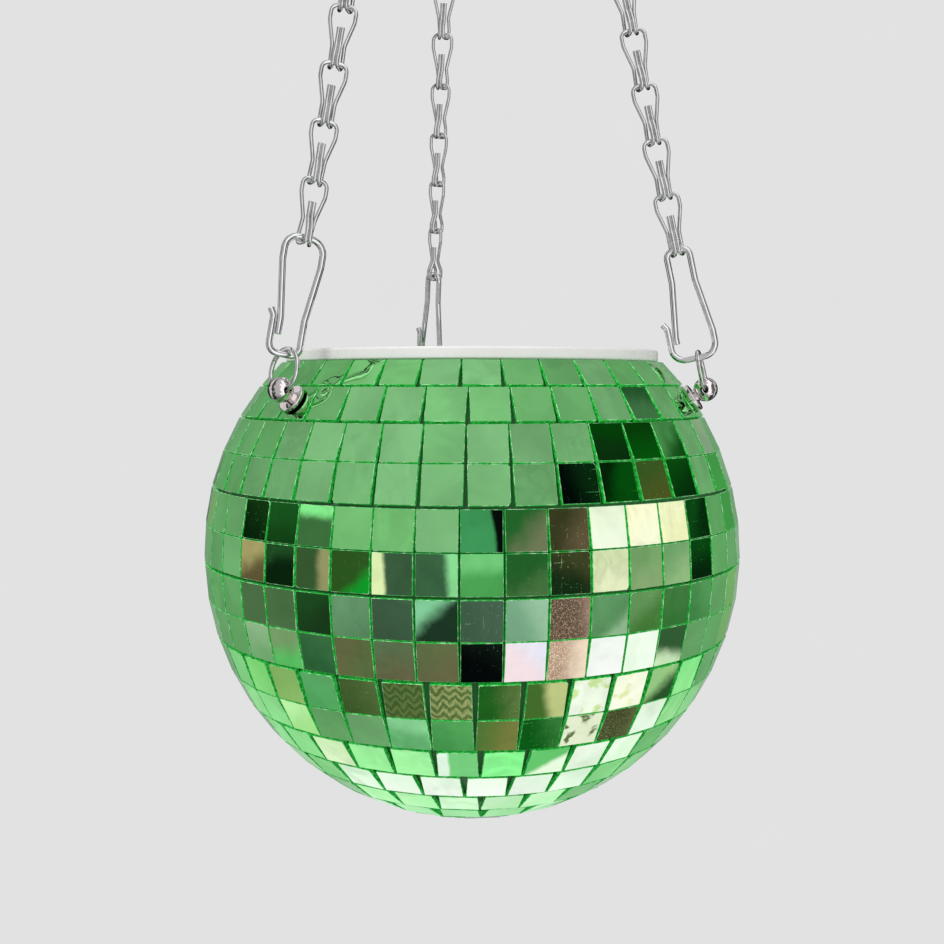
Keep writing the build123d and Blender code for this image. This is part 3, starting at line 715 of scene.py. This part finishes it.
def tile_look(azimuth, latitude, dice):
    """Tints with painted reflection in them, lie of the change between them, pattern, wear and warp of the
    tile at a place.
    """
    azimuth = (azimuth + 180) % 360 - 180
    seen = even(GREEN, MID)
    for low, high, patches in ROOM:
        for low_a, high_a, tile in patches:
            if low < latitude < high and low_a < azimuth < high_a:
                seen = tile
    if abs(azimuth) > FRONT_SPAN:
        seen = even(dice.choice([GREEN] * 7 + [DEEP, OLIVE, CLEAR]), MID)
    gain, depth, painted_dimming = dice.uniform(0.95, 1.03), dice.uniform(0.82, 1.04), dice.uniform(0.84, 1.0)
    lie = (dice.uniform(0, 2 * math.pi), dice.uniform(-0.3, 0.3), 1.0)
    warp = dice.uniform(0.10, 0.28) if dice.random() > 0.3 else dice.uniform(0.35, 0.8)
    wear = dice.uniform(0.0, 0.15) if dice.random() > 0.15 else dice.uniform(0.3, 0.7)
    look = dict(seen, warp=warp)
    if seen["second"] is None:
        look["first"] = tuple(min(1.0, c * gain * k) for c, k in zip(seen["first"], (depth, 1.0, depth)))
        # Painted reflection: the second tone is a dimmer copy of the first, as if what the tile reflects
        # changed across it
        look["second"] = tuple(c * painted_dimming for c in look["first"])
        look["lie"] = lie
        look["wear"] = wear
    if look["pattern"] in (ZIGZAG, SPOTTED):
        look["lie"] = (0.0, 9.0, 0.3)
    return look


def cut_corner_outline(half_w, half_h, dice):
    """Rectangle with hair-fine snapped corners, a few of them larger."""
    points = []
    for sx, sy in ((1, 1), (-1, 1), (-1, -1), (1, -1)):
        nip = dice.uniform(0.0001, 0.00022) if dice.random() > 0.08 else dice.uniform(0.0004, 0.0009)
        along = Vector((sx * (half_w - nip), sy * half_h))
        across = Vector((sx * half_w, sy * (half_h - nip * dice.uniform(0.6, 1.4))))
        points += [across, along] if sx * sy > 0 else [along, across]
    return points


def tile_layers(bm):
    """Face-corner layers that carry a tile's look to the material."""
    loops = bm.loops.layers
    # tint and tone hold a tile's two colours: the tint of its glass, with painted reflection in them
    colors = {name: loops.float_color.new(name) for name in ("tint", "tone")}
    numbers = {name: loops.float.new(name) for name in ("fade", "wear", "pattern")}
    return {**colors, **numbers, "uv": loops.uv.new("tile")}


def paint_corner(loop, layers, look, x, y):
    """Give one corner of a face the tile's look; x and y run from -1 to 1 over the tile."""
    angle, middle, soft = look["lie"]
    loop[layers["tint"]] = (*look["first"], look["warp"])
    loop[layers["tone"]] = (*look["second"], soft)
    loop[layers["fade"]] = x * math.cos(angle) + y * math.sin(angle) - middle
    loop[layers["wear"]] = look["wear"]
    loop[layers["pattern"]] = look["pattern"]
    loop[layers["uv"]].uv = (0.5 + x / 2, 0.5 + y / 2)


def add_tile(bm, layers, place, half_w, half_h, look, dice):
    """One piece of glass: face, fine arris and edges down to its back."""
    outline = cut_corner_outline(half_w, half_h, dice)
    levels = []
    for inset, depth in ((ARRIS_WIDTH, 0.0), (0.0, ARRIS_WIDTH * 0.8), (0.0, THICK)):
        ring = []
        for point in outline:
            x = point.x - math.copysign(inset, point.x)
            y = point.y - math.copysign(inset, point.y)
            ring.append(bm.verts.new(place @ Vector((x, y, -depth))))
        levels.append(ring)
    spot = {v: (p.x / half_w, p.y / half_h) for ring in levels for v, p in zip(ring, outline)}
    faces = [(bm.faces.new(levels[0]), 0)]
    for level, slot in ((0, 2), (1, 1)):
        upper, lower = levels[level], levels[level + 1]
        for i in range(len(outline)):
            j = (i + 1) % len(outline)
            faces.append((bm.faces.new((upper[j], upper[i], lower[i], lower[j])), slot))
    faces.append((bm.faces.new(list(reversed(levels[2]))), 1))
    for face, slot in faces:
        face.material_index = slot
        for loop in face.loops:
            paint_corner(loop, layers, look, *spot[loop.vert])


def tile_place(azimuth, latitude, dice):
    """Where a tile lies, turned a little from true as hand-laid tiles are."""
    axis = facing(azimuth, latitude)
    level = Vector((0, 0, 1)).cross(axis).normalized()
    rise = axis.cross(level)
    turn = Matrix((level, rise, axis)).transposed().to_4x4()
    tilt = Matrix.Rotation(math.radians(dice.gauss(0, 0.35)), 4, "X")
    tilt = tilt @ Matrix.Rotation(math.radians(dice.gauss(0, 0.35)), 4, "Y")
    tilt = tilt @ Matrix.Rotation(math.radians(dice.gauss(0, 0.25)), 4, "Z")
    return Matrix.Translation(CENTRE + axis * R) @ turn @ tilt


def build_rows():
    """Tiles of each CAD row as one piece; the ones the studs go through are whole, under the flanges."""
    first = 1
    for (count, number, joint), rows in zip(BANDS, band_rows()):
        last = first + count - 1
        node = f"tile_row_{first:02d}" if count == 1 else f"tile_strip_{first:02d}_{last:02d}"
        dice = random.Random(700 + first)
        bm = bmesh.new()
        layers = tile_layers(bm)
        for latitude, height in rows:
            width = tile_width(latitude, height, number)
            for index in range(number):
                azimuth = joint + (index + 0.5) * 360 / number
                trim = dice.uniform(0.0, 0.00008)
                look = tile_look(azimuth, latitude, dice)
                add_tile(
                    bm, layers, tile_place(azimuth, latitude, dice),
                    width / 2 - trim, height / 2 - trim, look, dice,
                )
        finish_piece(bm, node + "_glass", node)
        first = last + 1


def finish_piece(bm, name, node):
    """Turn a mesh into the piece that replaces a CAD node and rides on the planter."""
    mesh = bpy.data.meshes.new(name)
    bmesh.ops.recalc_face_normals(bm, faces=bm.faces)
    bm.to_mesh(mesh)
    bm.free()
    for material in (MIRROR, EDGE, ARRIS):
        mesh.materials.append(material)
    piece = bpy.data.objects.new(name, mesh)
    bpy.context.scene.collection.objects.link(piece)
    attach(piece, "planter")
    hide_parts(node)


def end_tile():
    """Round tile at the bottom pole."""
    bm = bmesh.new()
    layers = tile_layers(bm)
    look = dict(tile_look(180, -88, random.Random(16)), warp=0.2)
    sides = 96
    levels = []
    for r, depth in ((END_RADIUS - ARRIS_WIDTH, 0.0), (END_RADIUS, ARRIS_WIDTH), (END_RADIUS, THICK)):
        ring = []
        for i in range(sides):
            a = 2 * math.pi * i / sides
            ring.append(bm.verts.new(CENTRE + Vector((r * math.cos(a), r * math.sin(a), -R + depth))))
        levels.append(ring)
    faces = [(bm.faces.new(levels[0]), 0)]
    for level, slot in ((0, 2), (1, 1)):
        for i in range(sides):
            j = (i + 1) % sides
            ring = (levels[level][i], levels[level][j], levels[level + 1][j], levels[level + 1][i])
            faces.append((bm.faces.new(ring), slot))
    faces.append((bm.faces.new(levels[2]), 1))
    for face, slot in faces:
        face.material_index = slot
        for loop in face.loops:
            offset = loop.vert.co - CENTRE
            paint_corner(loop, layers, look, offset.x / END_RADIUS, offset.y / END_RADIUS)
    finish_piece(bm, "tile_end_glass", "tile_end")


build_rows()
end_tile()
